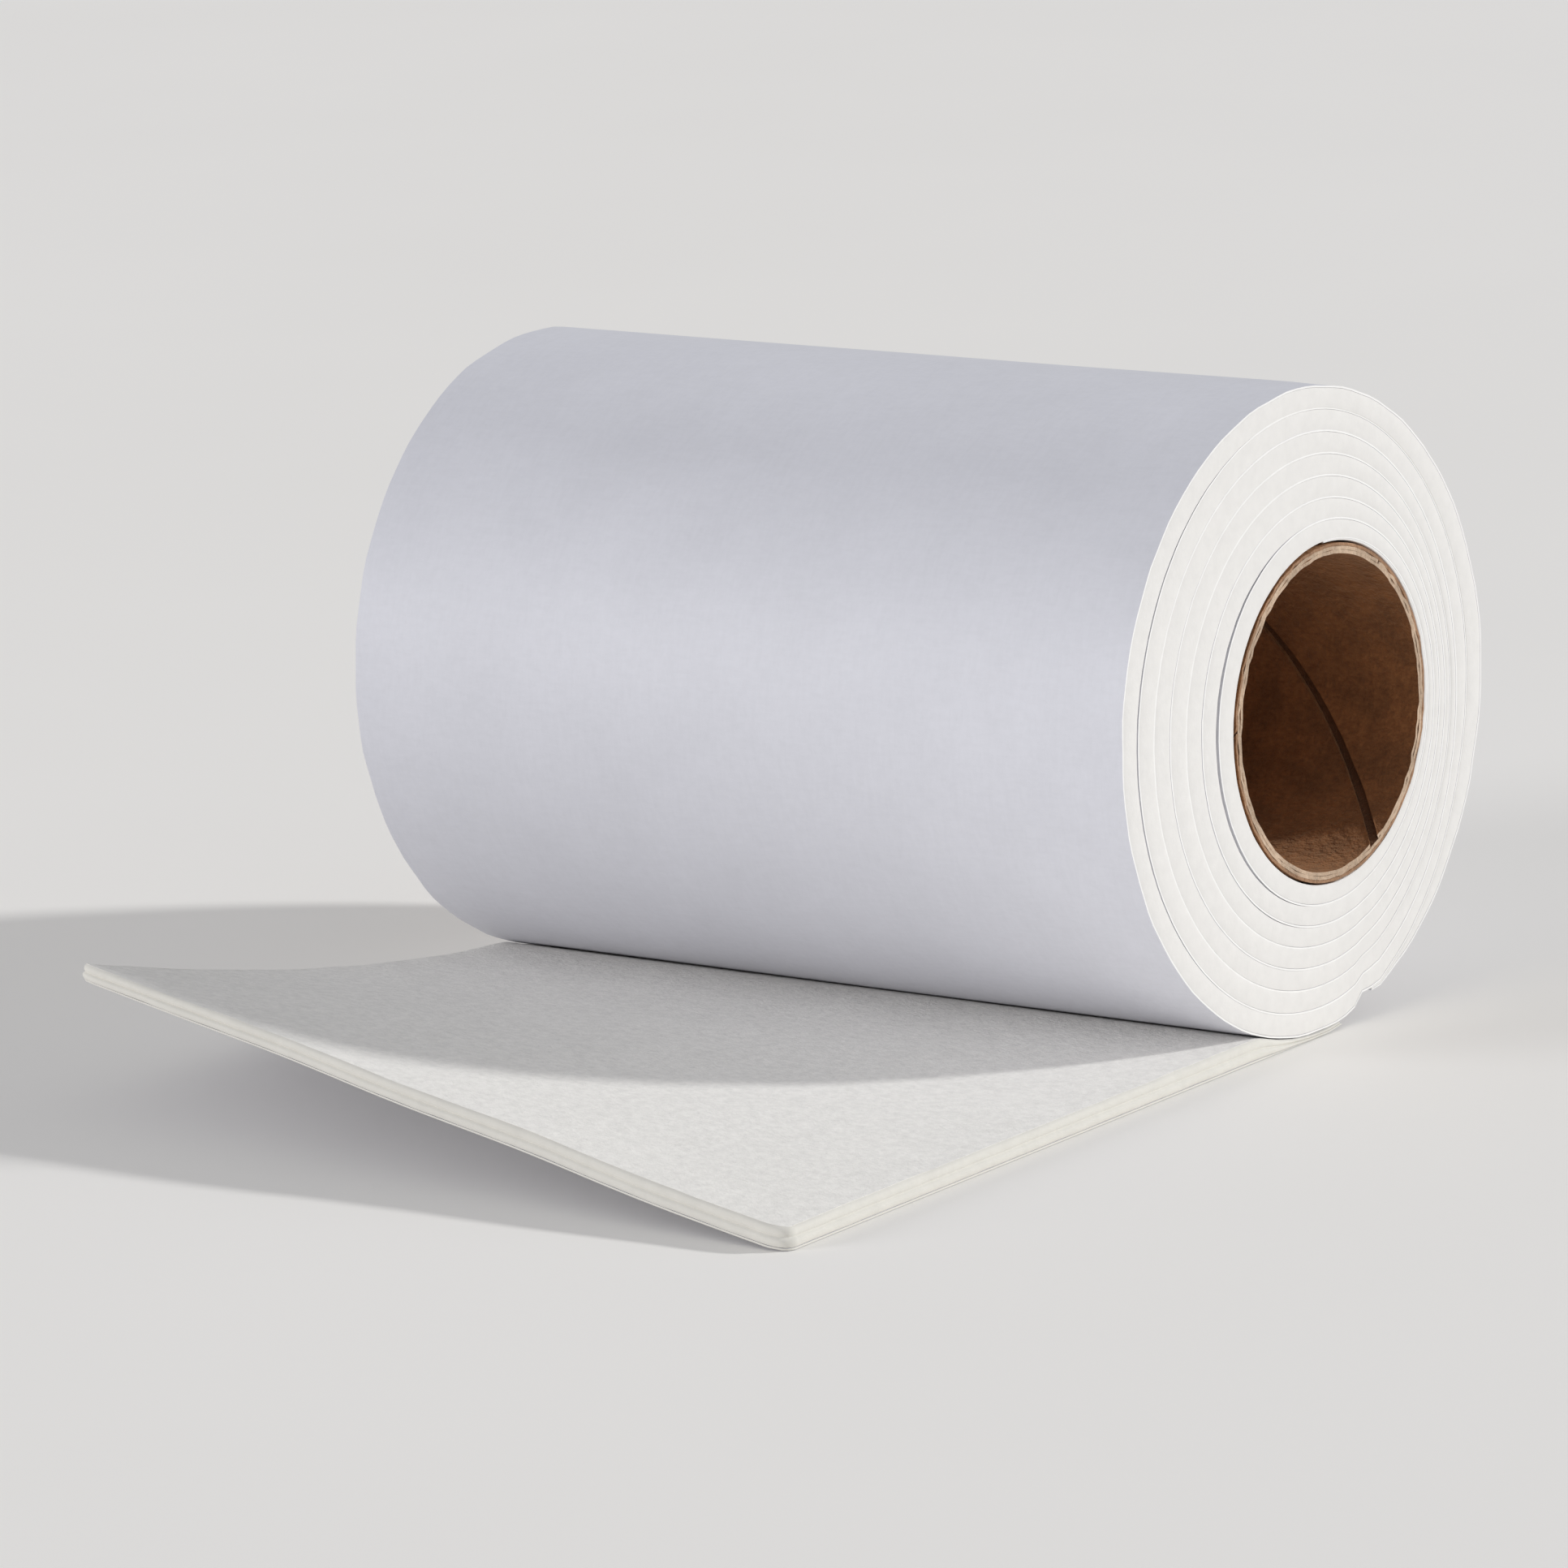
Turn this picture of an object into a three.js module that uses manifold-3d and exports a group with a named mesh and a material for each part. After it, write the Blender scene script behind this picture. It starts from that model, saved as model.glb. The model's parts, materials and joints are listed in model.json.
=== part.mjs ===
// A short roll of thick felt sheet with a smooth backing, wound on a cardboard core.
// The loose end of the sheet runs out from under the roll and one corner of it curls up.
//
// Millimetres, +Z up. The roll lies along X on the surface it rests on, z = 0, and the
// loose end points along -Y. The origin is under the middle of the roll and loose end.

import * as THREE from 'three';
import { mergeVertices } from 'three/addons/utils/BufferGeometryUtils.js';
import Module from 'manifold-3d';

// ---- Driving dimensions ----

const rollLength = 155;
const outlineRadius = 52.2;      // round outline of the wound turns
const sheetThickness = 3.6;      // felt and backing together
const pressedThickness = 1.5;    // the same sheet where the roll's weight lies on it
const backingThickness = 0.3;

const woundTurns = 7;            // layers of sheet between the core and the outline
const outerJog = THREE.MathUtils.degToRad(50);    // where a turn steps inward by one layer
const innerJog = THREE.MathUtils.degToRad(220);
const outerTaper = 0.7;          // share of its jog at which the sheet thins out and ends
const innerTaper = 0.25;

const boreRadius = 25.4;         // two-inch core
const plyThickness = 0.5;
const plyCount = 3;
const seamWidth = 1;             // open joint between the edges of a wound ply
const seamPitch = 128;           // length of core in which a ply goes once round
const seamAtRightEnd = THREE.MathUtils.degToRad(-65);
const coreOffsetY = 6.8;         // the core sits off the middle of the soft roll
const coreHeight = 52;

const touchGap = 0.3;            // space kept between touching pieces
const turnGap = 0.2;             // space between one turn and the next
const bondGap = 0.2;             // space between the felt and its backing
const rollGap = 0.25;            // space between the roll and the sheet under it

const reachRight = 145;          // from the roll's axis to the free edge, at the right end
const reachLeft = 125;
const cornerLift = 20;           // rise of the left corner of the free edge
const liftStart = 15;            // distance from the axis where the sheet starts to rise
const liftPower = 1.5;

const nipFront = 17;             // the stretch of sheet under the roll, before and behind
const nipBack = 12;              // the roll's axis
const nipFlatBack = 5;
const nipEdgeThickness = 1.1;    // the sheet where it is pinched against the roll

const tapeThickness = 0.25;      // tape that holds the sheet's inner end to the core
const tapeRoom = 0.6;            // between the core and the first turn, where the tape lies
const tapeMargin = 8;
const tapeArc = THREE.MathUtils.degToRad(40);
const tapeMiddle = THREE.MathUtils.degToRad(90);

// ---- Fineness of the facets ----

const stepsPerTurn = 40;
const seamSteps = 32;
const tapeSteps = 8;
const nipSteps = 13;
const freeStepsAlong = 24;
const freeStepsAcross = 6;

// ---- Places that follow from them ----

const plyPitch = plyThickness + touchGap;
const coreRadius = boreRadius + plyCount * plyPitch - touchGap;
const firstTurnRadius = coreRadius + tapeRoom;
const feltBase = backingThickness + bondGap;
const backingDepth = turnGap / 2;
const axisY = (reachRight - outlineRadius) / 2;
const axisZ = pressedThickness + rollGap + outlineRadius;
const axis = new THREE.Vector2(axisY, axisZ);
const coreCentre = new THREE.Vector2(axisY + coreOffsetY, coreHeight);
const halfLength = rollLength / 2;
const wholeTurn = 2 * Math.PI;

// ---- Finishes ----

const feltFinish = { color: 0xdedcd6, roughness: 1, metalness: 0 };
const backingFinish = { color: 0xe2e0ec, roughness: 0.55, metalness: 0 };
const cardFinish = { color: 0x8a6444, roughness: 0.9, metalness: 0 };
const tapeFinish = { color: 0xd8cfae, roughness: 0.4, metalness: 0 };

// ---- Helpers ----

const wasm = await Module();
wasm.setup();

function toSolid(geometry) {
  const bare = geometry.clone();
  bare.deleteAttribute('normal');
  bare.deleteAttribute('uv');
  const merged = mergeVertices(bare);
  const vertProperties = new Float32Array(merged.attributes.position.array);
  const triVerts = new Uint32Array(merged.index.array);
  return new wasm.Manifold(new wasm.Mesh({ numProp: 3, vertProperties, triVerts }));
}

function toGeometry(solid) {
  const mesh = solid.getMesh();
  const geometry = new THREE.BufferGeometry();
  geometry.setAttribute('position', new THREE.BufferAttribute(mesh.vertProperties, 3));
  geometry.setIndex(new THREE.BufferAttribute(mesh.triVerts, 1));
  geometry.computeVertexNormals();
  return geometry;
}

// A closed body between two grids of points with the same rows and columns. Going along
// a row's direction and then a column's must turn, by the right hand, towards upper.
function gridBody(lower, upper) {
  const rows = lower.length;
  const columns = lower[0].length;
  const end = rows - 1;
  const edge = columns - 1;
  const points = [...lower.flat(), ...upper.flat()];
  const low = (i, j) => i * columns + j;
  const high = (i, j) => rows * columns + low(i, j);
  const faces = [];
  const quad = (a, b, c, d) => faces.push(a, b, c, a, c, d);
  for (let i = 0; i < end; i++) {
    for (let j = 0; j < edge; j++) {
      quad(high(i, j), high(i + 1, j), high(i + 1, j + 1), high(i, j + 1));
      quad(low(i, j), low(i, j + 1), low(i + 1, j + 1), low(i + 1, j));
    }
    quad(low(i, 0), low(i + 1, 0), high(i + 1, 0), high(i, 0));
    quad(high(i, edge), high(i + 1, edge), low(i + 1, edge), low(i, edge));
  }
  for (let j = 0; j < edge; j++) {
    quad(high(0, j), high(0, j + 1), low(0, j + 1), low(0, j));
    quad(low(end, j), low(end, j + 1), high(end, j + 1), high(end, j));
  }
  const geometry = new THREE.BufferGeometry().setFromPoints(points);
  geometry.setIndex(faces);
  geometry.computeVertexNormals();
  return geometry;
}

// Extrudes an outline drawn in the roll's end face (y across, z up) over the roll's length.
function alongRoll(outline) {
  const geometry = new THREE.ExtrudeGeometry(new THREE.Shape(outline), {
    depth: rollLength,
    bevelEnabled: false,
  });
  const x = new THREE.Vector3(1, 0, 0);
  const y = new THREE.Vector3(0, 1, 0);
  const z = new THREE.Vector3(0, 0, 1);
  geometry.applyMatrix4(new THREE.Matrix4().makeBasis(y, z, x));
  return geometry.translate(-halfLength, 0, 0);
}

function piece(name, geometry, finish) {
  const mesh = new THREE.Mesh(geometry, new THREE.MeshStandardMaterial(finish));
  mesh.name = name;
  return mesh;
}

const steps = (count) => Array.from({ length: count + 1 }, (_, i) => i / count);

// ---- Cardboard core: plies wound in a screw line, each with an open seam ----

// Angle of a ply's seam about the core, from +Y towards +Z, at a place along the roll.
function seamAngle(x, ply) {
  return seamAtRightEnd + wholeTurn * ((halfLength - x) / seamPitch + ply / plyCount);
}

function onCore(x, radius, angle) {
  return new THREE.Vector3(
    x,
    coreCentre.x + radius * Math.cos(angle),
    coreCentre.y + radius * Math.sin(angle),
  );
}

function corePly(ply) {
  const inner = boreRadius + ply * plyPitch;
  const outer = inner + plyThickness;
  const profile = [
    new THREE.Vector2(inner, -halfLength),
    new THREE.Vector2(outer, -halfLength),
    new THREE.Vector2(outer, halfLength),
    new THREE.Vector2(inner, halfLength),
    new THREE.Vector2(inner, -halfLength),
  ];
  const tube = new THREE.LatheGeometry(profile, stepsPerTurn);
  tube.rotateZ(-Math.PI / 2);
  tube.translate(0, coreCentre.x, coreCentre.y);

  const overrun = 2;
  const stations = steps(seamSteps).map((t) => (t - 0.5) * (rollLength + 2 * overrun));
  const edges = (radius) => stations.map((x) => [1, -1].map((side) => {
    const angle = seamAngle(x, ply) + side * seamWidth / 2 / inner;
    return onCore(x, radius, angle);
  }));
  const cutter = gridBody(edges(inner - overrun / 2), edges(outer + overrun / 2));
  return toGeometry(toSolid(tube).subtract(toSolid(cutter)));
}

function startTape() {
  const stations = steps(tapeSteps).map((t) => tapeMiddle + tapeArc * (t - 0.5));
  const ends = [tapeMargin - halfLength, halfLength - tapeMargin];
  const strip = (radius) => stations.map((angle) => ends.map((x) => onCore(x, radius, angle)));
  const inner = coreRadius + (tapeRoom - tapeThickness) / 2;
  return gridBody(strip(inner), strip(inner + tapeThickness));
}

// ---- Wound turns ----

// A point of the end face. fraction is 0 on the core and 1 on the roll's outline, and
// angle runs from the bottom up the back, over the top and down the front.
function woundPoint(fraction, angle, offset) {
  const centre = coreCentre.clone().lerp(axis, fraction);
  const radius = THREE.MathUtils.lerp(firstTurnRadius, outlineRadius, fraction) + offset;
  return centre.add(new THREE.Vector2(Math.sin(angle), -Math.cos(angle)).multiplyScalar(radius));
}

// Where the sheet's outer side lies after winding inward through an angle. Each turn
// lies level, and steps in by one layer just behind the bottom of the roll.
function outerFraction(wound) {
  const turn = Math.floor(wound / wholeTurn);
  const angle = wound - turn * wholeTurn;
  const jog = THREE.MathUtils.lerp(outerJog, innerJog, Math.min(turn / woundTurns, 1));
  const step = THREE.MathUtils.smoothstep(angle, 0, jog);
  return THREE.MathUtils.clamp(1 - (turn - 1 + step) / woundTurns, 0, 1);
}

const innerFraction = (wound) => outerFraction(wound + wholeTurn);

// Outline of a ribbon that follows the sheet between two depths: outerDepth is measured
// inward from the sheet's outer side, and innerDepth likewise, or null for its inner side.
function ribbon(outerDepth, innerDepth) {
  const firstAngle = outerTaper * outerJog;
  const lastAngle = woundTurns * wholeTurn + innerTaper * innerJog;
  const count = Math.round((lastAngle - firstAngle) / wholeTurn * stepsPerTurn);
  const angles = steps(count).map((t) => THREE.MathUtils.lerp(firstAngle, lastAngle, t));
  const outerSide = angles.map((a) => woundPoint(outerFraction(a), a, -outerDepth));
  const innerSide = angles.map((a) => (innerDepth === null
    ? woundPoint(innerFraction(a), a, turnGap / 2)
    : woundPoint(outerFraction(a), a, -innerDepth)));
  return [...outerSide, ...innerSide.reverse()];
}

// ---- Sheet under the roll ----

// Height of the sheet's lower and upper sides at a distance in front of the roll's axis
// (negative behind it). The roll presses a hollow into the sheet, and behind the axis the
// sheet turns up against the roll.
function underside(ahead) {
  const rise = THREE.MathUtils.smoothstep(-ahead, nipFlatBack, nipBack);
  return rise * (topside(-nipBack) - nipEdgeThickness);
}

function topside(ahead) {
  const hollow = axisZ - Math.sqrt((outlineRadius + rollGap) ** 2 - ahead ** 2);
  return Math.min(hollow, sheetThickness);
}

function sheetUnderRoll(lowerSide, upperSide) {
  const stations = steps(nipSteps).map((t) => THREE.MathUtils.lerp(-nipBack, nipFront, t));
  const ends = [-halfLength, halfLength];
  const side = (height) => stations.map((ahead) => (
    ends.map((x) => new THREE.Vector3(x, axisY - ahead, height(ahead)))));
  return gridBody(side(lowerSide), side(upperSide));
}

// ---- Free end of the sheet ----

// Rise of the sheet above the surface it lies on. across is 0 at the left edge of the
// sheet and 1 at the right edge, and ahead is the distance from the roll's axis.
function lift(across, ahead) {
  const run = Math.max(ahead - liftStart, 0) / (reachLeft - liftStart);
  return cornerLift * (1 - across) * run ** liftPower;
}

function freeEnd(lowerSide, upperSide) {
  const start = nipFront + touchGap;
  const point = (along, across, height) => {
    const reach = THREE.MathUtils.lerp(reachLeft, reachRight, across);
    const ahead = THREE.MathUtils.lerp(start, reach, along);
    const x = THREE.MathUtils.lerp(-halfLength, halfLength, across);
    return new THREE.Vector3(x, axisY - ahead, lift(across, ahead) + height);
  };
  const side = (height) => steps(freeStepsAlong).map((along) => (
    steps(freeStepsAcross).map((across) => point(along, across, height))));
  return gridBody(side(lowerSide), side(upperSide));
}

// ---- Assembly ----

const core = new THREE.Group();
core.add(
  piece('core_inner_ply', corePly(0), cardFinish),
  piece('core_middle_ply', corePly(1), cardFinish),
  piece('core_outer_ply', corePly(2), cardFinish),
  piece('start_tape', startTape(), tapeFinish),
);

const woundFelt = ribbon(backingDepth + feltBase, null);
const woundBacking = ribbon(backingDepth, backingDepth + backingThickness);
const turns = new THREE.Group();
turns.add(
  piece('felt_wound_turns', alongRoll(woundFelt), feltFinish),
  piece('backing_wound_turns', alongRoll(woundBacking), backingFinish),
);

const pressedFelt = sheetUnderRoll((ahead) => underside(ahead) + feltBase, topside);
const pressedBacking = sheetUnderRoll(underside, (ahead) => underside(ahead) + backingThickness);
const nip = new THREE.Group();
nip.add(
  piece('felt_under_roll', pressedFelt, feltFinish),
  piece('backing_under_roll', pressedBacking, backingFinish),
);

const looseEnd = new THREE.Group();
looseEnd.add(
  piece('felt_free_end', freeEnd(feltBase, sheetThickness), feltFinish),
  piece('backing_free_end', freeEnd(0, backingThickness), backingFinish),
);

const paperRoll = new THREE.Group();
paperRoll.add(core, turns, nip, looseEnd);

export default paperRoll;
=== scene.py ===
"""The looks of a short backdrop roll: thick soft sheet wound on a cardboard core.

The sheet is white felt with a smooth backing. Its loose end runs out from under the roll,
felt side up, and the left corner curls off the surface. Metres, +Z up, roll along X.
"""

import json
import math

import bpy
import numpy as np
from mathutils import Matrix, Vector, noise


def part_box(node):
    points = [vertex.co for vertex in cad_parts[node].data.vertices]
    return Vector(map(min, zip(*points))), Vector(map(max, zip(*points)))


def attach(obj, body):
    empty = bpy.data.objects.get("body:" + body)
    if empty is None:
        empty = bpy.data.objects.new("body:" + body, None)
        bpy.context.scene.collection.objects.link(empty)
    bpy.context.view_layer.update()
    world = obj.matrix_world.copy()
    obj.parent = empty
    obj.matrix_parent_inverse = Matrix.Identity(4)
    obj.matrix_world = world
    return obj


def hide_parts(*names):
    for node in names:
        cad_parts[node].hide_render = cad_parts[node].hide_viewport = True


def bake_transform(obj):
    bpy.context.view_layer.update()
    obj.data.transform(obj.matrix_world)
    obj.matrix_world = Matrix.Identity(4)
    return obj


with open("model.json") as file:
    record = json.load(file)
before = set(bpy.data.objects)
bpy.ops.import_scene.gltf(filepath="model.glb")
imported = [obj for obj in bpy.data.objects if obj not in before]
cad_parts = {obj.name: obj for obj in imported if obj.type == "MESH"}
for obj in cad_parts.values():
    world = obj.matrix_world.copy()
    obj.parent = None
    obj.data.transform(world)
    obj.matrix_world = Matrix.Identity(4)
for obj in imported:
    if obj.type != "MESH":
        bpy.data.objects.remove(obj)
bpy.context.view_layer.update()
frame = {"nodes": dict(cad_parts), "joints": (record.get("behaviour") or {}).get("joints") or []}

MM = 0.001
WHOLE_TURN = 2 * math.pi

# ---- Sizes and places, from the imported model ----

wound_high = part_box("backing_wound_turns")[1]
bore_ply_low, bore_ply_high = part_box("core_inner_ply")
outer_ply_low, outer_ply_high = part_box("core_outer_ply")
free_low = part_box("felt_free_end")[0]

turn_joint = next(j for j in frame["joints"] if j["name"] == "roll_turn")
AXIS = np.array(turn_joint["pos_m"][1:])
HALF_LENGTH = wound_high.x
OUTLINE_RADIUS = wound_high.z - AXIS[1]
CORE_CENTRE = np.array([bore_ply_low.y + bore_ply_high.y, bore_ply_low.z + bore_ply_high.z]) / 2
PLY_THICKNESS = 0.5 * MM
# The photo's core has a thinner wall than the solid.
BORE_TRIM = 0.4 * MM
BORE_RADIUS = (bore_ply_high.y - bore_ply_low.y) / 2 - PLY_THICKNESS + BORE_TRIM
CORE_RADIUS = (outer_ply_high.y - outer_ply_low.y) / 2
CORE_CLEARANCE = 0.35 * MM
FIRST_TURN_RADIUS = CORE_RADIUS + CORE_CLEARANCE
EDGE_SKEW = 20 * MM
REACH_RIGHT = AXIS[0] - free_low.y
REACH_LEFT = REACH_RIGHT - EDGE_SKEW

# ---- The sheet ----

SHEET_THICKNESS = 3.6 * MM
BACKING_THICKNESS = 0.3 * MM
TURNS = 7
# Angle over which a turn steps in by one layer, at the outside and next to the core.
OUTER_JOG = math.radians(50)
INNER_JOG = math.radians(220)


# ---- Mesh helpers ----

# Move of the noise pattern from one seed to the next, in lumps along each axis.
SEED_STEP = (13.7, 7.3, 3.1)


def smooth_noise(points, size, seed):
    """Noise from -1 to 1 at each point, with lumps about size across."""
    shift = Vector([seed * step for step in SEED_STEP])
    return np.array([noise.noise(Vector(p) / size + shift) for p in points])


def smooth_step(x, low, high):
    t = np.clip((x - low) / (high - low), 0, 1)
    return t * t * (3 - 2 * t)


def bump_between(angle, start, end):
    """A smooth hump over a range of angles in degrees: 0 at both ends, 1 in the middle."""
    t = np.clip((np.degrees(angle) % 360 - start) / (end - start), 0, 1)
    return np.sin(math.pi * t) ** 2


# Faces that meet at a larger angle than this have a crisp edge between them.
CRISP_ANGLE = math.radians(50)


def new_mesh(name, points, faces, materials, face_materials):
    mesh = bpy.data.meshes.new(name)
    mesh.from_pydata([tuple(p) for p in points], [], faces)
    for material in materials:
        mesh.materials.append(material)
    mesh.polygons.foreach_set("material_index", face_materials)
    mesh.shade_smooth()
    mesh.set_sharp_from_angle(angle=CRISP_ANGLE)
    obj = bpy.data.objects.new(name, mesh)
    bpy.context.scene.collection.objects.link(obj)
    return obj


def block(name, grid, materials, row_material=0, column_material=0):
    """A closed body from points in rows, columns and layers: only its six outer sides have
    faces. Rows, columns and layers turn by the right hand. The sides of the first and last
    row take row_material, and those of the first and last column column_material."""
    rows, columns, layers = grid.shape[:3]
    number = np.arange(rows * columns * layers).reshape(rows, columns, layers)
    faces, kinds = [], []

    def side(sheet, flip, kind):
        a, b, c, d = sheet[:-1, :-1], sheet[1:, :-1], sheet[1:, 1:], sheet[:-1, 1:]
        order = (a, d, c, b) if flip else (a, b, c, d)
        quads = np.stack([q.ravel() for q in order], axis=1)
        faces.extend(quads.tolist())
        kinds.extend([kind] * len(quads))

    side(number[:, :, -1], False, 0)
    side(number[:, :, 0], True, 0)
    side(number[:, 0, :], False, column_material)
    side(number[:, -1, :], True, column_material)
    side(number[0], True, row_material)
    side(number[-1], False, row_material)
    used = np.unique(faces)
    renumber = np.full(number.size, -1)
    renumber[used] = np.arange(len(used))
    points = grid.reshape(-1, 3)[used]
    return new_mesh(name, points, renumber[np.array(faces)].tolist(), materials, kinds)


def subdivide(obj):
    modifier = obj.modifiers.new("fine", "SUBSURF")
    modifier.levels = 1
    modifier.render_levels = 1


# ---- Materials ----

# Places of the colour sockets among those of a mix node.
COLOUR_A, COLOUR_B, COLOUR_RESULT = 6, 7, 2


class Shader:
    """A material with one Principled shader, and short calls that add nodes to it. Colours
    are linear red, green and blue."""

    def __init__(self, name, colour, roughness, **settings):
        self.material = bpy.data.materials.new(name)
        self.material.use_nodes = True
        self.nodes = self.material.node_tree.nodes
        self.links = self.material.node_tree.links
        self.surface = self.nodes["Principled BSDF"]
        self.surface.inputs["Base Color"].default_value = (*colour, 1)
        self.surface.inputs["Roughness"].default_value = roughness
        for key, value in settings.items():
            self.surface.inputs[key.replace("_", " ")].default_value = value
        self.place = self.nodes.new("ShaderNodeTexCoord").outputs["Object"]
        self.height = None

    def stretched(self, scale):
        """Object coordinates, drawn out by a scale for each axis."""
        mapping = self.nodes.new("ShaderNodeMapping")
        mapping.inputs["Scale"].default_value = scale
        self.links.new(self.place, mapping.inputs["Vector"])
        return mapping.outputs["Vector"]

    def noise(self, size, detail=3, roughness=0.6, stretch=(1, 1, 1)):
        """Noise with lumps about size across, in metres."""
        texture = self.nodes.new("ShaderNodeTexNoise")
        texture.inputs["Scale"].default_value = 1 / size
        texture.inputs["Detail"].default_value = detail
        texture.inputs["Roughness"].default_value = roughness
        self.links.new(self.stretched(stretch), texture.inputs["Vector"])
        return texture.outputs["Fac"]

    def ramp(self, value, *stops):
        """Colours against a value: each stop is (place, colour)."""
        node = self.nodes.new("ShaderNodeValToRGB")
        while len(node.color_ramp.elements) < len(stops):
            node.color_ramp.elements.new(0.5)
        for element, (place, colour) in zip(node.color_ramp.elements, stops):
            element.position = place
            element.color = (*colour, 1)
        self.links.new(value, node.inputs["Fac"])
        return node.outputs["Color"]

    def mix(self, share, a, b, blend="MIX"):
        """Two colours mixed by a share from 0 to 1."""
        node = self.nodes.new("ShaderNodeMix")
        node.data_type = "RGBA"
        node.blend_type = blend
        node.inputs["Factor"].default_value = share
        self.links.new(a, node.inputs[COLOUR_A])
        self.links.new(b, node.inputs[COLOUR_B])
        return node.outputs[COLOUR_RESULT]

    def colour(self, value):
        self.links.new(value, self.surface.inputs["Base Color"])

    def bump(self, value, distance, strength=1.0):
        """Adds relief: distance is the height of the noise in metres."""
        node = self.nodes.new("ShaderNodeBump")
        node.inputs["Distance"].default_value = distance
        node.inputs["Strength"].default_value = strength
        self.links.new(value, node.inputs["Height"])
        if self.height is not None:
            self.links.new(self.height, node.inputs["Normal"])
        self.height = node.outputs["Normal"]
        self.links.new(self.height, self.surface.inputs["Normal"])


def grey(value, tint=(1, 1, 1)):
    return tuple(value * t for t in tint)


def felt_material():
    warm = (1.0, 0.977, 0.93)
    felt = Shader("soft_felt", grey(0.9, warm), 1.0, Sheen_Weight=0.15, Sheen_Roughness=0.6)
    mottle = felt.noise(1.6 * MM, detail=5, roughness=0.7)
    clumps = felt.ramp(mottle, (0.34, grey(0.85, warm)), (0.62, grey(0.96, warm)))
    patches = felt.ramp(felt.noise(16 * MM), (0.3, grey(0.97)), (0.7, grey(1.0)))
    felt.colour(felt.mix(1.0, clumps, patches, "MULTIPLY"))
    felt.bump(felt.noise(2.2 * MM, detail=4), 0.5 * MM, 0.5)
    felt.bump(felt.noise(0.45 * MM, detail=4, stretch=(0.6, 1, 1)), 0.3 * MM, 0.6)
    return felt.material


def cut_felt_material(name, value, warm):
    """For cut edges: smoother than the felt's open side."""
    felt = Shader(name, grey(value, warm), 1.0, Sheen_Weight=0.15, Sheen_Roughness=0.6)
    soft = felt.noise(2.5 * MM, detail=3)
    felt.colour(felt.ramp(
        soft, (0.3, grey(value - 0.02, warm)), (0.7, grey(value + 0.02, warm))))
    felt.bump(felt.noise(1.2 * MM, detail=3), 0.12 * MM, 0.4)
    return felt.material


def backing_material():
    """The smooth side, with a faint weave of two crossing grains."""
    cool = (0.925, 0.93, 1.0)
    backing = Shader("smooth_backing", grey(0.79, cool), 0.55)
    cloudy = backing.ramp(
        backing.noise(20 * MM, detail=2), (0.3, grey(0.772, cool)), (0.7, grey(0.802, cool)))
    across = backing.noise(0.9 * MM, detail=4, roughness=0.7, stretch=(1, 0.3, 0.3))
    along = backing.noise(0.9 * MM, detail=4, roughness=0.7, stretch=(0.3, 1, 1))
    weave = backing.mix(0.5, across, along)
    grain = backing.ramp(weave, (0.36, grey(0.955)), (0.6, grey(1.0)))
    backing.colour(backing.mix(1.0, cloudy, grain, "MULTIPLY"))
    backing.bump(weave, 0.06 * MM, 0.6)
    backing.bump(backing.noise(9 * MM, detail=2), 0.15 * MM, 0.4)
    return backing.material


BOARD_SHEEN = (1, 0.62, 0.36)


def board_material(name, dark, light):
    """Rough stained board, between a dark and a light colour."""
    board = Shader(name, dark, 0.85, Sheen_Weight=0.35, Sheen_Roughness=0.5)
    board.surface.inputs["Sheen Tint"].default_value = (*BOARD_SHEEN, 1)
    fibres = board.noise(0.7 * MM, detail=6, roughness=0.7, stretch=(0.5, 1, 1))
    stains = board.noise(7 * MM, detail=3)
    base = board.ramp(fibres, (0.3, dark), (0.7, light))
    shade = board.ramp(stains, (0.38, grey(0.72)), (0.6, grey(1.0)))
    board.colour(board.mix(1.0, base, shade, "MULTIPLY"))
    board.bump(board.noise(1.5 * MM, detail=5), 0.8 * MM, 1.0)
    return board.material


def tape_material():
    tape = Shader("paper_tape", (0.74, 0.66, 0.44), 0.5)
    crepe = tape.noise(0.8 * MM, detail=2, stretch=(0.2, 1, 1))
    tape.colour(tape.ramp(crepe, (0.3, (0.68, 0.6, 0.4)), (0.7, (0.78, 0.7, 0.48))))
    tape.bump(crepe, 0.05 * MM)
    return tape.material


def floor_material():
    warm = (1.0, 0.98, 0.95)
    floor = Shader("studio_white", grey(0.92, warm), 0.9)
    floor.colour(floor.ramp(floor.noise(0.3), (0.3, grey(0.91, warm)), (0.7, grey(0.93, warm))))
    return floor.material


# ---- Winding ----

def level_at(wound):
    """Which layer the sheet's outer side lies on, counted inward from the outline, after
    winding through an angle. Each turn lies level and steps in just behind the bottom."""
    turn = np.floor(wound / WHOLE_TURN)
    angle = wound - turn * WHOLE_TURN
    jog = OUTER_JOG + (INNER_JOG - OUTER_JOG) * np.minimum(turn / TURNS, 1)
    return np.clip(turn - 1 + smooth_step(angle, 0, jog), 0, TURNS)


# How many layers farther in each level lies at the back of the roll.
BACK_LEVELS = (0, 1, 2, 4, TURNS)
BACK_SHIFTS = (0, 0.75, 1.1, 0.7, 0)


def squeezed(level, angle):
    """The level again, with the inner layers packed tighter at the back of the roll and
    the outer two looser."""
    spare = np.interp(level, BACK_LEVELS, BACK_SHIFTS)
    return level + spare * np.maximum(np.sin(angle), 0) ** 2


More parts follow.
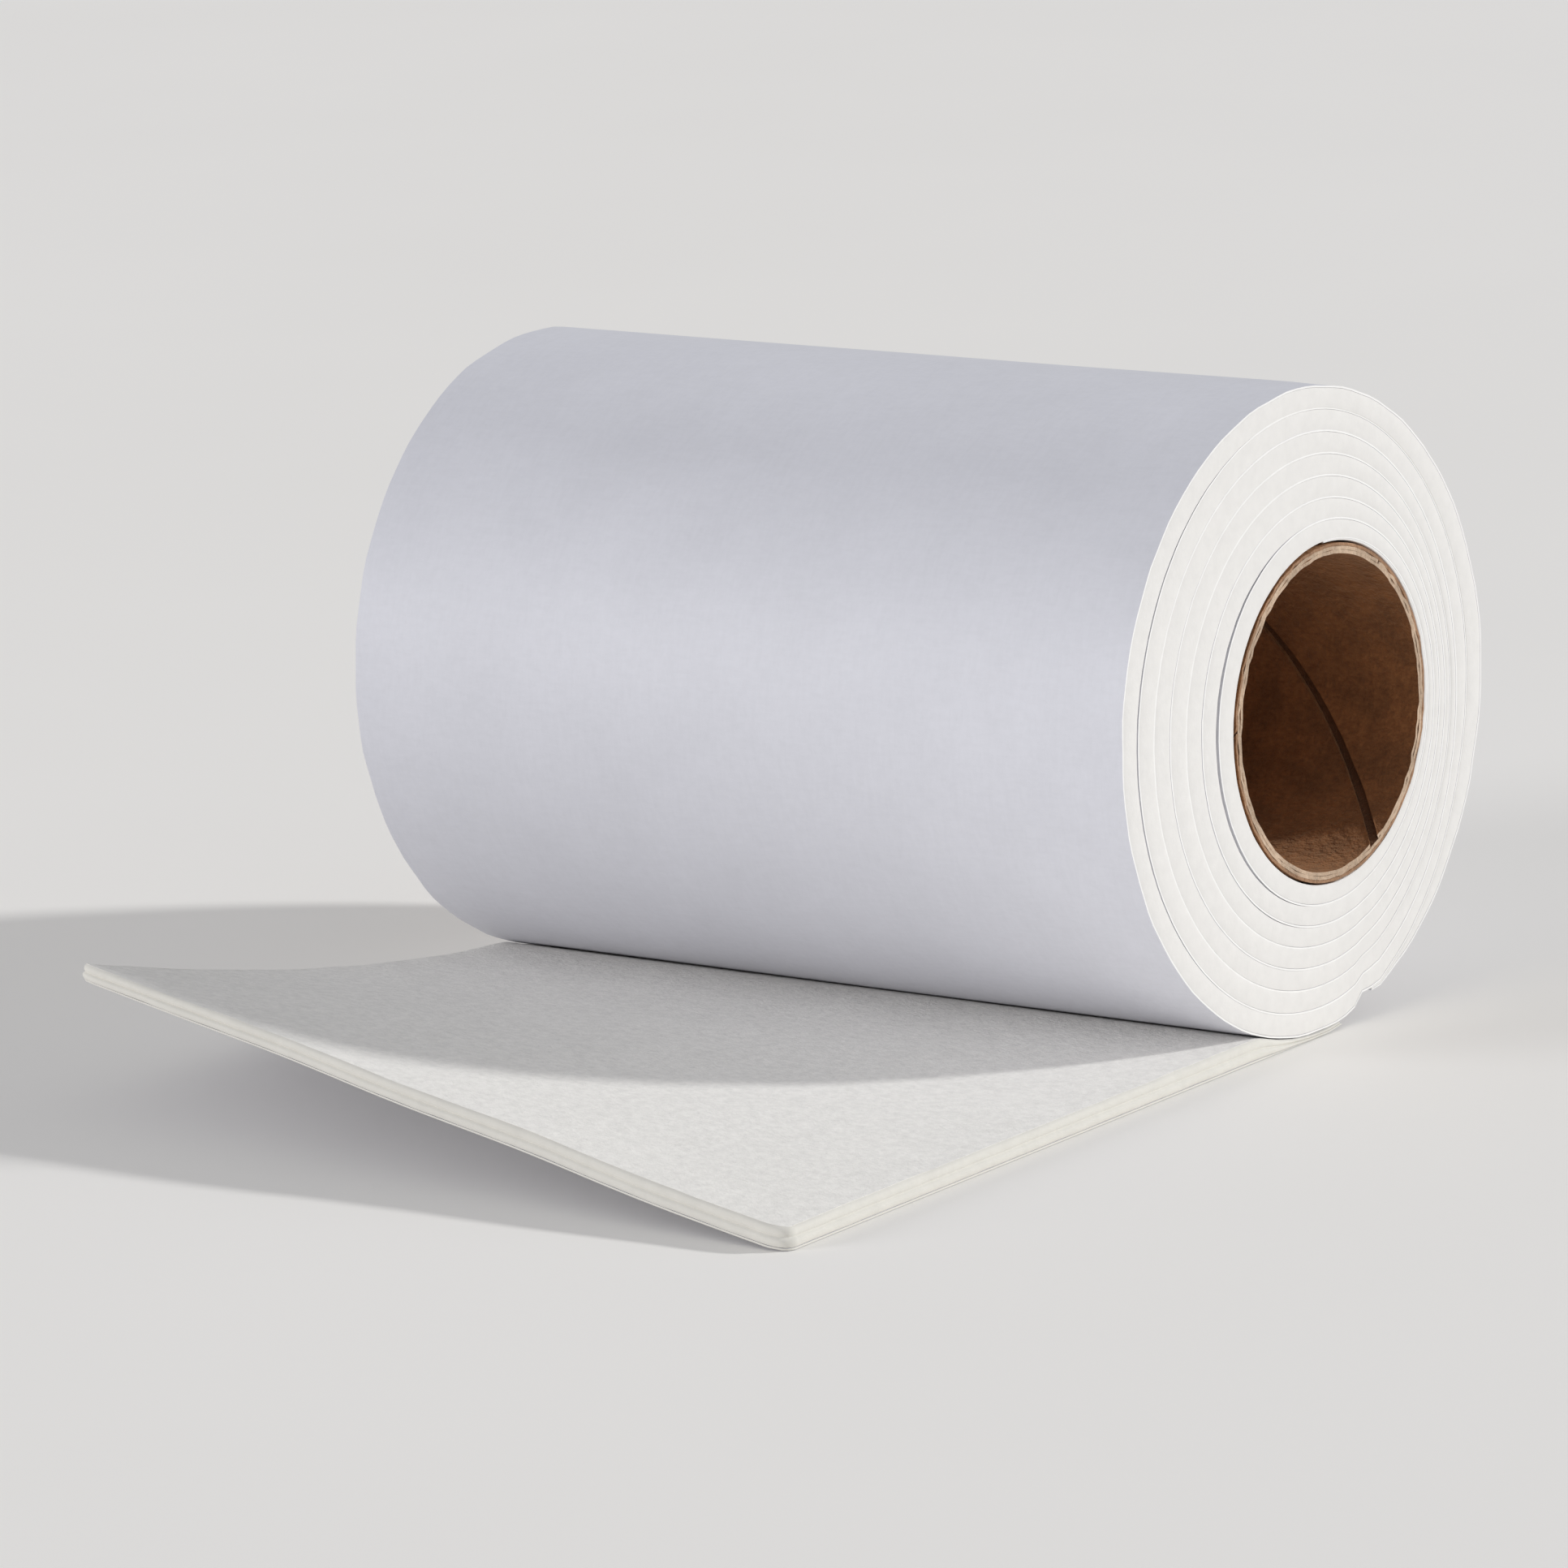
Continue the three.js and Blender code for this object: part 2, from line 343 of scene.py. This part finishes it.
# Air gaps between turns: widest opening in mm, level, and start and end angle in degrees.
# A gap closes GAP_FADE times as fast as the level moves away from its own. Everywhere else
# the turns are pressed together by PRESSED_IN mm.
AIR_GAPS = (
    (0.4, 1, 165, 350),
    (0.8, TURNS - 1, 172, 366),
    (0.14, TURNS - 2, 305, 356),
    (0.07, 1, 30, 150),
)
GAP_FADE = 1.6
PRESSED_IN = 0.05


def slack(level, angle):
    """Width of the air gap between turns. It is below 0 where they are pressed together."""
    width = sum(
        widest * np.clip(1 - np.abs(level - boundary) * GAP_FADE, 0, 1)
        * bump_between(angle, start, end)
        for widest, boundary, start, end in AIR_GAPS)
    return (width - PRESSED_IN) * MM


# The roll's soft bottom and the notch behind it: angles in degrees from the bottom, and how
# many levels in they fade.
BULGE_HEIGHT = 1.1 * MM
BULGE_SPREAD = 66
BULGE_LEVELS = 2
NOTCH_DEPTH = 1.7 * MM
NOTCH_ANGLE = 15.5
NOTCH_WIDTH = 2.4
NOTCH_LEVELS = 1.4


def bottom_bulge(angle):
    """How far the roll's soft bottom stands out past the round outline."""
    off_bottom = np.abs((np.degrees(angle) + 180) % 360 - 180)
    return BULGE_HEIGHT * np.cos(np.minimum(off_bottom / BULGE_SPREAD, 1) * math.pi / 2) ** 2


def notch(level, angle):
    """Depth of the notch behind the bottom, where the sheet leaves the roll. It fades
    inward."""
    across = np.exp(-((np.degrees(angle) % 360 - NOTCH_ANGLE) / NOTCH_WIDTH) ** 2)
    return NOTCH_DEPTH * across * np.exp(-level / NOTCH_LEVELS)


def end_face_point(level, angle, inward):
    """Point of the end face (y, z) at a level, moved towards the core by inward."""
    fraction = 1 - squeezed(level, angle) / TURNS
    centre = CORE_CENTRE + (AXIS - CORE_CENTRE) * fraction[:, None]
    radius = FIRST_TURN_RADIUS + (OUTLINE_RADIUS - FIRST_TURN_RADIUS) * fraction
    bulge = bottom_bulge(angle) * np.exp(-level / BULGE_LEVELS)
    radius = radius - inward - notch(level, angle) + bulge
    direction = np.stack([np.sin(angle), -np.cos(angle)], axis=1)
    return centre + direction * radius[:, None]


# The sheet is laid out in stations along its length. It starts and ends part-way through a
# jog, where it is thinner.
STATIONS_PER_TURN = 120
START_IN_JOG = 0.35
END_IN_JOG = 0.82
WOUND_START = START_IN_JOG * OUTER_JOG
WOUND_END = TURNS * WHOLE_TURN + END_IN_JOG * INNER_JOG
station_count = round((WOUND_END - WOUND_START) / WHOLE_TURN * STATIONS_PER_TURN) + 1
wound_angles = np.linspace(WOUND_START, WOUND_END, station_count)


OUTER_SHARE_OF_GAP = 0.35
INNER_SHARE_OF_GAP = 0.65


def sheet_sides():
    """The sheet's outer and inner side at each station, as points of the end face."""
    outer_level = level_at(wound_angles)
    inner_level = level_at(wound_angles + WHOLE_TURN)
    outer_gap = np.where(
        outer_level > 0, slack(outer_level, wound_angles) * OUTER_SHARE_OF_GAP, 0)
    inner_gap = np.where(
        inner_level < TURNS, slack(inner_level, wound_angles) * INNER_SHARE_OF_GAP, 0)
    outer = end_face_point(outer_level, wound_angles, outer_gap)
    inner = end_face_point(inner_level, wound_angles, -inner_gap)
    return outer, inner


# Columns of points along the roll, as shares of its half length: closer near the ends.
NEAR_END = np.array([0.84, 0.89, 0.93, 0.96, 0.985, 1])
MIDDLE_COLUMNS = np.linspace(-0.78, 0.78, 19)

# The wound sheet's cut edges: how far they lie inside the solid's ends, how far the turns
# slip sideways, and the height and size of the lumps.
EDGE_SET_BACK = 0.3 * MM
TURN_SLIP = 0.12 * MM
TURN_SLIP_RATE = 0.25
EDGE_LUMP_HEIGHT = 0.06 * MM
EDGE_LUMP_SIZE = 2.2 * MM


def ribbon(name, outer, inner, across, overhang, materials):
    """A closed ribbon between two spiral lines. across are shares of the way from the
    outer line to the inner one, and overhang is how far each lies past the others at the
    cut edges."""
    columns = np.concatenate([-NEAR_END[::-1], MIDDLE_COLUMNS, NEAR_END])
    grid = np.zeros((len(outer), len(columns), len(across), 3))
    turn_shift = smooth_noise(
        [(w * TURN_SLIP_RATE, 0, 0) for w in wound_angles], 1, 5) * TURN_SLIP
    for k, (share, over) in enumerate(zip(across, overhang)):
        line = outer + (inner - outer) * share
        for j, place in enumerate(columns):
            x = np.full(len(line), place * HALF_LENGTH)
            if abs(place) == 1:
                points = np.column_stack([np.full(len(line), place), line / EDGE_LUMP_SIZE])
                rough = smooth_noise(points, 1, 3) * EDGE_LUMP_HEIGHT
                x = x + np.sign(place) * (over + rough + turn_shift - EDGE_SET_BACK)
            grid[:, j, k] = np.column_stack([x, line])
    return block(name, grid[:, :, ::-1], materials, column_material=len(materials) - 1)


# Levels through the wound felt, from its outer side in, and how far each stands out at the
# cut edges. The backing stands back from the felt's middle there.
FELT_LEVELS = (0, 0.08, 0.25, 0.5, 0.75, 0.92, 1)
FELT_ROUNDING = np.array([-0.1, -0.04, 0.0, 0.03, 0.0, -0.04, -0.1]) * MM
BACKING_OVERHANG = -0.07 * MM
# The backing takes at most this share of the sheet's thickness, and the felt starts at a
# multiple of the backing's share, so that the two don't touch.
LARGEST_BACKING_SHARE = 0.3
WOUND_FELT_START = 1.15


def make_winding(felt, backing):
    cut_felt = cut_felt_material("cut_felt", 0.82, (1.0, 0.98, 0.95))
    cut_backing = cut_felt_material("cut_backing", 0.94, (1.0, 0.99, 0.97))
    outer, inner = sheet_sides()
    thickness = np.linalg.norm(outer - inner, axis=1)[:, None]
    film = np.minimum(BACKING_THICKNESS / thickness, LARGEST_BACKING_SHARE)
    under_film = outer + (inner - outer) * film
    felt_top = outer + (inner - outer) * film * WOUND_FELT_START

    felt_roll = ribbon(
        "felt_turns", felt_top, inner, FELT_LEVELS, FELT_ROUNDING, [felt, cut_felt])
    backing_roll = ribbon(
        "backing_turns", outer, under_film, (0, 1), (BACKING_OVERHANG, BACKING_OVERHANG),
        [backing, cut_backing])
    for piece, slot, node in (
        (felt_roll, "felt", "felt_wound_turns"),
        (backing_roll, "backing", "backing_wound_turns"),
    ):
        relax_outside(piece)
        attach(piece, "wound_roll")
        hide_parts(node)


WAVE_HEIGHT = 0.22 * MM
CREASE_HEIGHT = 0.3 * MM
CREASE_REACH = 14 * MM
RELAXED_IN = 0.1 * MM


def relax_outside(obj):
    """Gives the outermost turn the faint waves and edge creases of a soft roll."""
    points = np.array([v.co for v in obj.data.vertices])
    offset = points[:, 1:] - AXIS
    radius = np.linalg.norm(offset, axis=1)
    outside = smooth_step(radius, OUTLINE_RADIUS - 1.2 * MM, OUTLINE_RADIUS - 0.4 * MM)
    waves = smooth_noise(points * np.array([0.6, 1, 1]), 32 * MM, 11) * WAVE_HEIGHT
    near_end = smooth_step(np.abs(points[:, 0]), HALF_LENGTH - CREASE_REACH, HALF_LENGTH)
    creases = smooth_noise(points * np.array([0.5, 1, 1]), 7 * MM, 12)
    change = (waves + creases * CREASE_HEIGHT * near_end - RELAXED_IN) * outside
    points[:, 1:] += offset / radius[:, None] * change[:, None]
    obj.data.vertices.foreach_set("co", points.astype(np.float32).ravel())


# ---- Loose end ----

# Places on the loose end are given by across, the share of its width from the left edge,
# and ahead, the distance in front of the roll's axis.
ROLL_GAP = 0.15 * MM
NIP_BACK = 6 * MM
NIP_FLAT_BACK = 2 * MM
NIP_TIP_THICKNESS = 0.45 * MM
CORNER_LIFT = 20 * MM
LIFT_START = 15 * MM
CURL_ACROSS = 1.15
CURL_ALONG = 1.5
CORNER_THINNING = 1.3 * MM
THINNING_ON_TOP = 0.3
RIGHT_CORNER, RIGHT_ROUNDING = 0.025, 2.6 * MM
LEFT_CORNER, LEFT_ROUNDING = 0.02, 1.5 * MM
EDGE_WAVE, EDGE_WAVE_RATE = 0.5 * MM, 17


def reach_at(across):
    """Distance of the free edge from the roll's axis, with rounded corners."""
    reach = REACH_LEFT + (REACH_RIGHT - REACH_LEFT) * across
    right = np.clip((across - 1 + RIGHT_CORNER) / RIGHT_CORNER, 0, 1)
    left = np.clip((LEFT_CORNER - across) / LEFT_CORNER, 0, 1)
    rounding = (1 - np.sqrt(1 - right ** 2)) * RIGHT_ROUNDING + left ** 2 * LEFT_ROUNDING
    waves = EDGE_WAVE * np.sin(across * EDGE_WAVE_RATE) * np.sin(across * math.pi)
    return reach - rounding + waves


def lift_at(across, ahead):
    """How far the sheet curls up: most at the left corner of its free edge."""
    run = np.maximum(ahead - LIFT_START, 0) / (REACH_LEFT - LIFT_START)
    return CORNER_LIFT * (1 - across) ** CURL_ACROSS * run ** CURL_ALONG


def roll_underside(ahead):
    """Height of the roll's lower side above the surface it stands on."""
    angle = np.arcsin(np.clip(ahead / OUTLINE_RADIUS, -1, 1))
    reach = OUTLINE_RADIUS + ROLL_GAP + bottom_bulge(angle)
    inside = np.maximum(reach ** 2 - ahead ** 2, 0)
    return AXIS[1] - np.sqrt(inside)


def loose_sides(across, ahead):
    """Heights of the sheet's lower and upper side. It is pressed thin under the roll."""
    top = np.minimum(roll_underside(ahead), SHEET_THICKNESS)
    tip = roll_underside(-NIP_BACK) - NIP_TIP_THICKNESS
    low = smooth_step(-ahead, NIP_FLAT_BACK, NIP_BACK) * tip
    rise = lift_at(across, ahead)
    thinning = CORNER_THINNING * (rise / CORNER_LIFT) ** 2
    return low + rise + thinning, top + rise + THINNING_ON_TOP * thinning


def loose_grid(across, alongs, levels, lips, low_share, high_share):
    """Points of the loose end between two shares of its thickness. alongs are shares of its
    length, levels are shares of the way up, and lips are how far each level stands out at
    the cut edges."""
    grid = np.zeros((len(alongs), len(across), len(levels), 3))
    for i, along in enumerate(alongs):
        ahead = -NIP_BACK + (reach_at(across) + NIP_BACK) * along
        low, high = loose_sides(across, ahead)
        start = low + (high - low) * low_share
        depth = (high - low) * (high_share - low_share)
        for k, (level, lip) in enumerate(zip(levels, lips)):
            x = (2 * across - 1) * HALF_LENGTH
            y = AXIS[0] - ahead
            if along == 1:
                y = y - lip
            x = x + np.where(across == 0, -lip, 0) + np.where(across == 1, lip, 0)
            grid[i, :, k] = np.column_stack([x, y, start + depth * level])
    return grid


EDGE_MARGIN = 0.008


def edge_spaced(count):
    """Shares from 0 to 1, evenly spaced, with two more close to each end."""
    inner = np.linspace(EDGE_MARGIN, 1 - EDGE_MARGIN, count)
    close = EDGE_MARGIN * 0.3
    return np.concatenate([[0], [close], inner, [1 - close], [1]])


# Levels through the loose felt, from below up, and how far each stands out at the cut edge.
# The dip in the middle makes the edge look split, as in the photo.
EDGE_LEVELS = (0, 0.12, 0.34, 0.44, 0.5, 0.58, 0.8, 0.94, 1)
EDGE_LIPS = np.array([0, 0.25, 0.3, 0.1, -0.35, 0.0, 0.0, -0.25, -0.7]) * MM
LOOSE_FELT_START = 1.04


def make_loose_end(felt, backing):
    cut_felt = cut_felt_material("loose_cut_felt", 0.76, (1.0, 0.975, 0.9))
    across = edge_spaced(64)
    alongs = edge_spaced(72)
    film = BACKING_THICKNESS / SHEET_THICKNESS

    felt_grid = loose_grid(
        across, alongs, EDGE_LEVELS, EDGE_LIPS, film * LOOSE_FELT_START, 1)
    roughen(felt_grid)
    felt_sheet = block(
        "felt_loose_end", felt_grid, [felt, cut_felt], row_material=1, column_material=1)
    backing_grid = loose_grid(across, alongs, (0, 1), (0, 0), 0, film)
    backing_sheet = block(
        "backing_loose_end", backing_grid, [backing, cut_felt], row_material=1, column_material=1)
    subdivide(felt_sheet)

    for piece, slot, nodes, under in (
        (felt_sheet, "felt", ("felt_free_end", "felt_under_roll"), "backing_loose_end"),
        (backing_sheet, "backing", ("backing_free_end", "backing_under_roll"), "studio_floor"),
    ):
        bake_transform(piece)
        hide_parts(*nodes)


LUMP_HEIGHT = 0.14 * MM
TUFT_HEIGHT = 0.06 * MM
RAGGED = 0.15 * MM


def roughen(grid):
    """Gives the felt soft lumps on its upper side, clear of the roll, and uneven cut edges."""
    top = grid[:, :, -1].reshape(-1, 3)
    lumps = smooth_noise(top, 9 * MM, 21) * LUMP_HEIGHT
    tufts = smooth_noise(top, 2.5 * MM, 22) * TUFT_HEIGHT
    free = smooth_step(AXIS[0] - top[:, 1], 16 * MM, 24 * MM)
    grid[:, :, -1, 2] += ((lumps + tufts) * free).reshape(grid.shape[:2])
    for side in (grid[-1], grid[:, 0], grid[:, -1]):
        flat = side.reshape(-1, 3)
        ragged = smooth_noise(flat, 3 * MM, 23) * RAGGED
        side += ragged.reshape(side.shape[:2])[:, :, None] * np.array([1, 1, 0])


# ---- Core ----

# The seam runs round the core once in a pitch. It is wide open only in the innermost ply.
# Its edges are frayed and stand a little into the bore.
SEAM_PITCH = 128 * MM
SEAM_WIDTH = 2.5 * MM
HIDDEN_SEAM_WIDTH = 0.5 * MM
SEAM_AT_RIGHT = math.radians(-65)
SEAM_LIP = 0.12 * MM
SEAM_FRAY = 0.8
PLIES = 3
PLY_GAP = 0.02 * MM
END_SET_BACK = 0.15 * MM
FRAY = 0.3 * MM
RIPPLE = 0.07 * MM


def seam_angle(x, ply):
    return SEAM_AT_RIGHT + WHOLE_TURN * ((HALF_LENGTH - x) / SEAM_PITCH + ply / PLIES)


def make_ply(name, ply, radius, thickness, face, cut):
    """One ply of the core: a paper strip whose edges meet in an open screw-line seam."""
    places = np.linspace(-1, 1, 91) * HALF_LENGTH
    around = np.concatenate([[0, 0.004], np.linspace(0.012, 0.988, 110), [0.996, 1]])
    seam_edge = (around == 0) | (around == 1)
    away_from_seam = np.where(around < 0.5, 1, -1)
    lip = np.where(seam_edge, -SEAM_LIP, 0)
    grid = np.zeros((len(places), len(around), 2, 3))
    gap = (SEAM_WIDTH if ply == 0 else HIDDEN_SEAM_WIDTH) / radius / 2
    for i, x in enumerate(places):
        angle = seam_angle(x, ply) + gap + around * (WHOLE_TURN - 2 * gap)
        along = np.full(len(angle), x)
        wall = np.column_stack([along, np.cos(angle) * radius, np.sin(angle) * radius])
        ripple = smooth_noise(wall * np.array([0.6, 1, 1]), 5 * MM, 31 + ply) * RIPPLE
        fray = smooth_noise(wall, 1.2 * MM, 41 + ply) * FRAY
        turned = angle + np.where(seam_edge, fray / radius * SEAM_FRAY * away_from_seam, 0)
        if i in (0, len(places) - 1):
            along = along + np.sign(x) * (fray - END_SET_BACK)
        for k, depth in enumerate((0, thickness)):
            r = radius + depth + ripple + lip * (k == 0)
            grid[i, :, k] = np.column_stack([
                along,
                CORE_CENTRE[0] + np.cos(turned) * r,
                CORE_CENTRE[1] + np.sin(turned) * r,
            ])
    piece = block(name, grid[::-1], [face, cut], row_material=1)
    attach(piece, "wound_roll")
    return piece


def make_core():
    brown = board_material("core_board_brown", (0.22, 0.08, 0.022), (0.38, 0.155, 0.05))
    # The middle ply's face shows only through the inner ply's open seam. Its darker board colours
    # are painted shade that darkens the seam gap; the real ply is the same brown as the others.
    under = board_material("core_board_painted_seam_shade", (0.1, 0.036, 0.012), (0.16, 0.062, 0.022))
    pale = board_material("core_board_pale_cut", (0.54, 0.38, 0.26), (0.74, 0.57, 0.42))
    rust = board_material("core_board_brown_cut", (0.32, 0.165, 0.085), (0.46, 0.27, 0.16))
    pitch = (CORE_RADIUS - BORE_RADIUS - PLY_THICKNESS) / (PLIES - 1)
    for ply, (node, face, cut) in enumerate((
        ("core_inner_ply", brown, pale),
        ("core_middle_ply", under, pale),
        ("core_outer_ply", brown, rust),
    )):
        radius = BORE_RADIUS + ply * pitch
        thickness = pitch - PLY_GAP if ply < PLIES - 1 else PLY_THICKNESS
        piece = make_ply(node.replace("core", "card"), ply, radius, thickness, face, cut)
        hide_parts(node)


# ---- Studio ----

def make_studio():
    bpy.ops.mesh.primitive_plane_add(size=8, location=(0, 0, -0.1 * MM))
    floor = bpy.context.object
    floor.name = "studio_floor"
    floor.data.materials.append(floor_material())

    world = bpy.data.worlds.new("studio")
    world.use_nodes = True
    background = world.node_tree.nodes["Background"]
    background.inputs["Color"].default_value = (0.96, 0.97, 1.0, 1)
    background.inputs["Strength"].default_value = 0.455
    bpy.context.scene.world = world

    key = bpy.data.lights.new("key", "SUN")
    key.energy = 1.9
    key.angle = math.radians(5)
    key.color = (1.0, 1.0, 0.99)
    place_light(key, Vector((1.78, 1.36, 1.0)))

    fill = bpy.data.lights.new("fill", "SUN")
    fill.energy = 1.26
    fill.angle = math.radians(25)
    fill.color = (0.99, 0.985, 1.0)
    place_light(fill, Vector((-0.85, -1.05, 0.3)))


def place_light(light, place):
    """Adds a light that shines from a place towards the origin."""
    lamp = bpy.data.objects.new(light.name, light)
    lamp.location = place
    lamp.rotation_euler = place.to_track_quat("Z", "Y").to_euler()
    bpy.context.scene.collection.objects.link(lamp)


def make_camera():
    """The photo's view: its turns (in radians), lens and place were fitted to the photo."""
    yaw, pitch, roll = 0.651, -0.217, -0.051
    level_ahead = Vector((-math.sin(yaw), math.cos(yaw), 0))
    ahead = level_ahead * math.cos(pitch) + Vector((0, 0, math.sin(pitch)))
    level_right = Vector((math.cos(yaw), math.sin(yaw), 0))
    level_up = level_right.cross(ahead)
    right = level_right * math.cos(roll) + level_up * math.sin(roll)
    up = level_up * math.cos(roll) - level_right * math.sin(roll)
    camera = bpy.data.cameras.new("camera")
    camera.sensor_width = 36
    camera.lens = 207.7
    camera.clip_start, camera.clip_end = 0.1, 20
    holder = bpy.data.objects.new("camera", camera)
    turned = Matrix((right, up, -ahead)).transposed().to_4x4()
    place = Vector((868.6 * MM, AXIS[0] - 1177.9 * MM, 358.4 * MM))
    holder.matrix_world = Matrix.Translation(place) @ turned
    bpy.context.scene.collection.objects.link(holder)
    bpy.context.scene.camera = holder
    bpy.context.scene.view_settings.view_transform = "Standard"


# ---- Everything together ----

make_camera()
make_studio()
felt = felt_material()
backing = backing_material()
make_winding(felt, backing)
make_loose_end(felt, backing)
make_core()
tape = frame["nodes"]["start_tape"]
tape.data.materials.clear()
tape.data.materials.append(tape_material())
